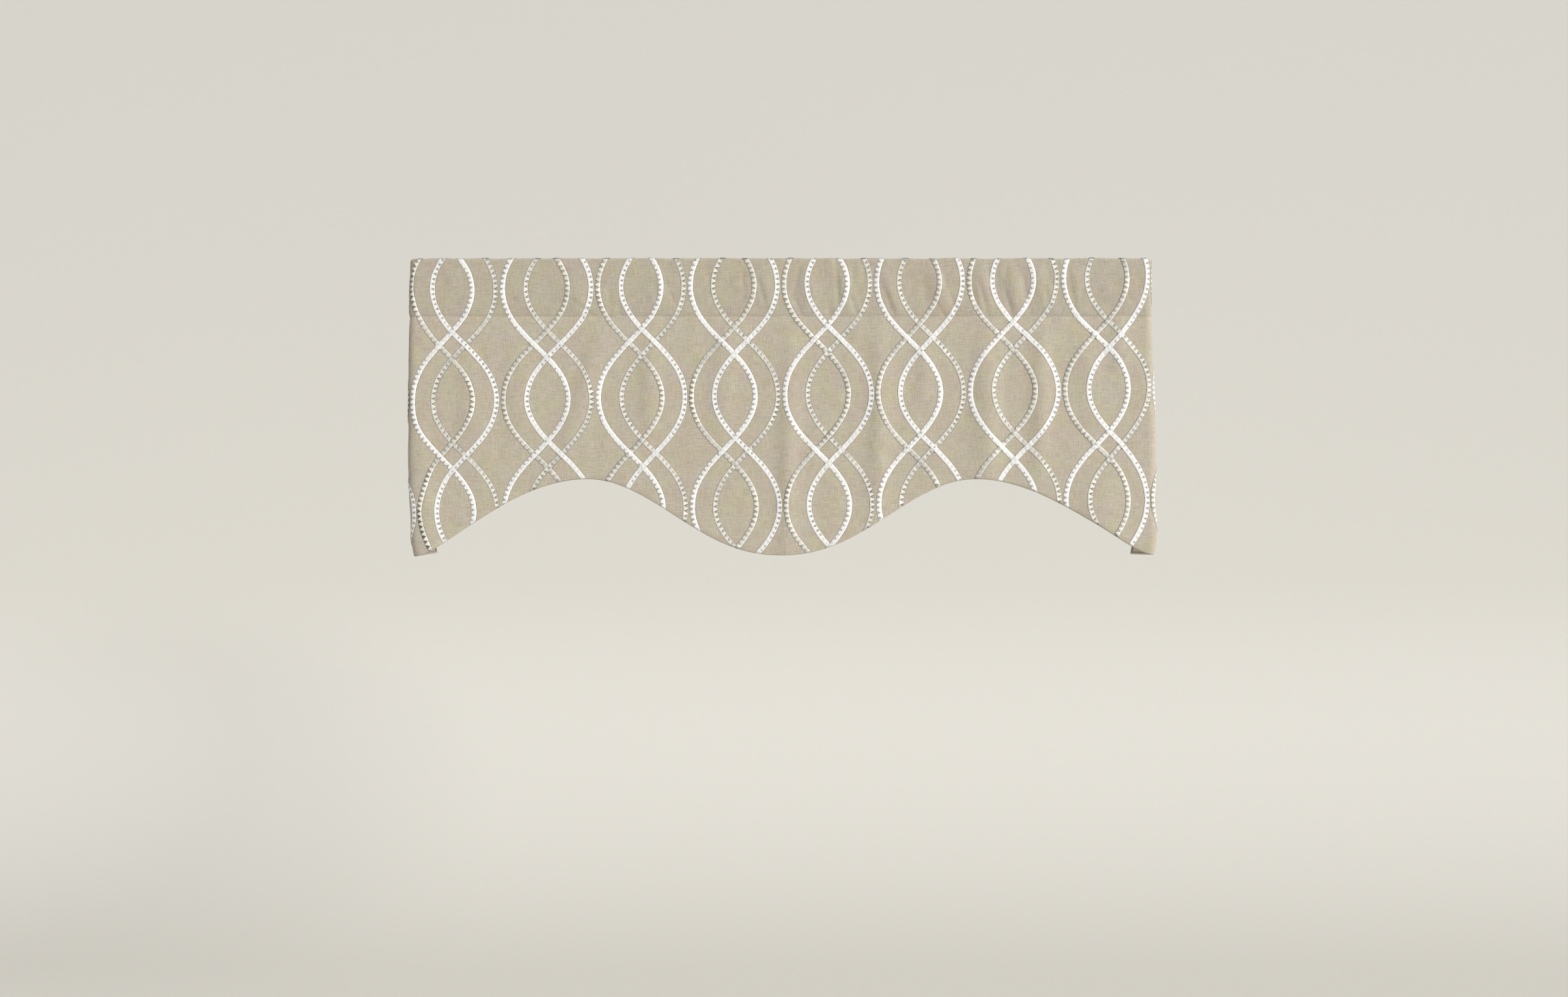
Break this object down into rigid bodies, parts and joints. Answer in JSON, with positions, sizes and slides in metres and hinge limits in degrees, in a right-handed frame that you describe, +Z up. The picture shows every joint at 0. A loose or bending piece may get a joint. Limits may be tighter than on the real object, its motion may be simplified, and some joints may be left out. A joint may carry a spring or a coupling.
{
  "type": "window valance",
  "caption": "Lined rod-pocket window valance with a scalloped lower edge and a return at each end, in cloth embroidered with interlaced ogees.",
  "frame": {"origin": "middle of the valance's top edge, halfway through the rod pocket's depth, where the rod that holds it would lie just below", "axes": "+X along the rod, to the right for someone facing the front; +Y back towards the wall; +Z up; the embroidered front faces -Y"},
  "size_m": [1.1216, 0.0804, 0.446],
  "materials": {
    "face_panel": "warm beige linen-look plain weave, matt, with raised white and silver-taupe satin embroidery",
    "lining": "plain cream-beige sateen lining, matt"
  },
  "bodies": {
    "root": {"face_panel": "face_panel", "lining": "lining"}
  },
  "joints": []
}
